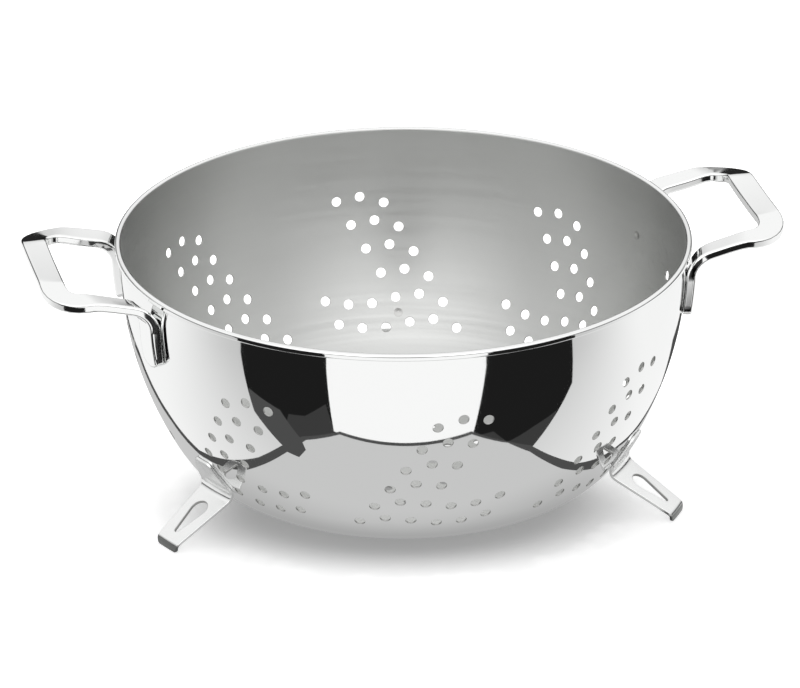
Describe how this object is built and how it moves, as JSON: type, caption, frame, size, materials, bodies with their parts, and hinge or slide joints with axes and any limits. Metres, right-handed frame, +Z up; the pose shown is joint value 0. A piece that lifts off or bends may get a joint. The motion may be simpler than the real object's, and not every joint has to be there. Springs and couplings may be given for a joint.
{
  "type": "colander",
  "caption": "Footed steel colander: a deep perforated bowl with a rolled rim, flat-bar loop handles and slotted sheet feet, all spot-welded on.",
  "frame": {"origin": "on the surface that the feet stand on, under the middle of the bowl", "axes": "+X through the right handle, +Y to the back foot, +Z up along the bowl's axis"},
  "size_m": [0.3136, 0.2414, 0.1132],
  "materials": {
    "bowl_steel": "mirror polished outside, fine brushed satin inside",
    "handle_steel": "polished flat bar with softened edges",
    "foot_steel": "bright folded sheet with a light grain",
    "weld_steel": "slightly dulled spot marks"
  },
  "bodies": {
    "root": {"bowl": "bowl_steel", "handle_left": "handle_steel", "handle_right": "handle_steel", "foot_back": "foot_steel", "foot_front_left": "foot_steel", "foot_front_right": "foot_steel", "handle_welds": "weld_steel", "foot_welds": "weld_steel"}
  },
  "joints": []
}
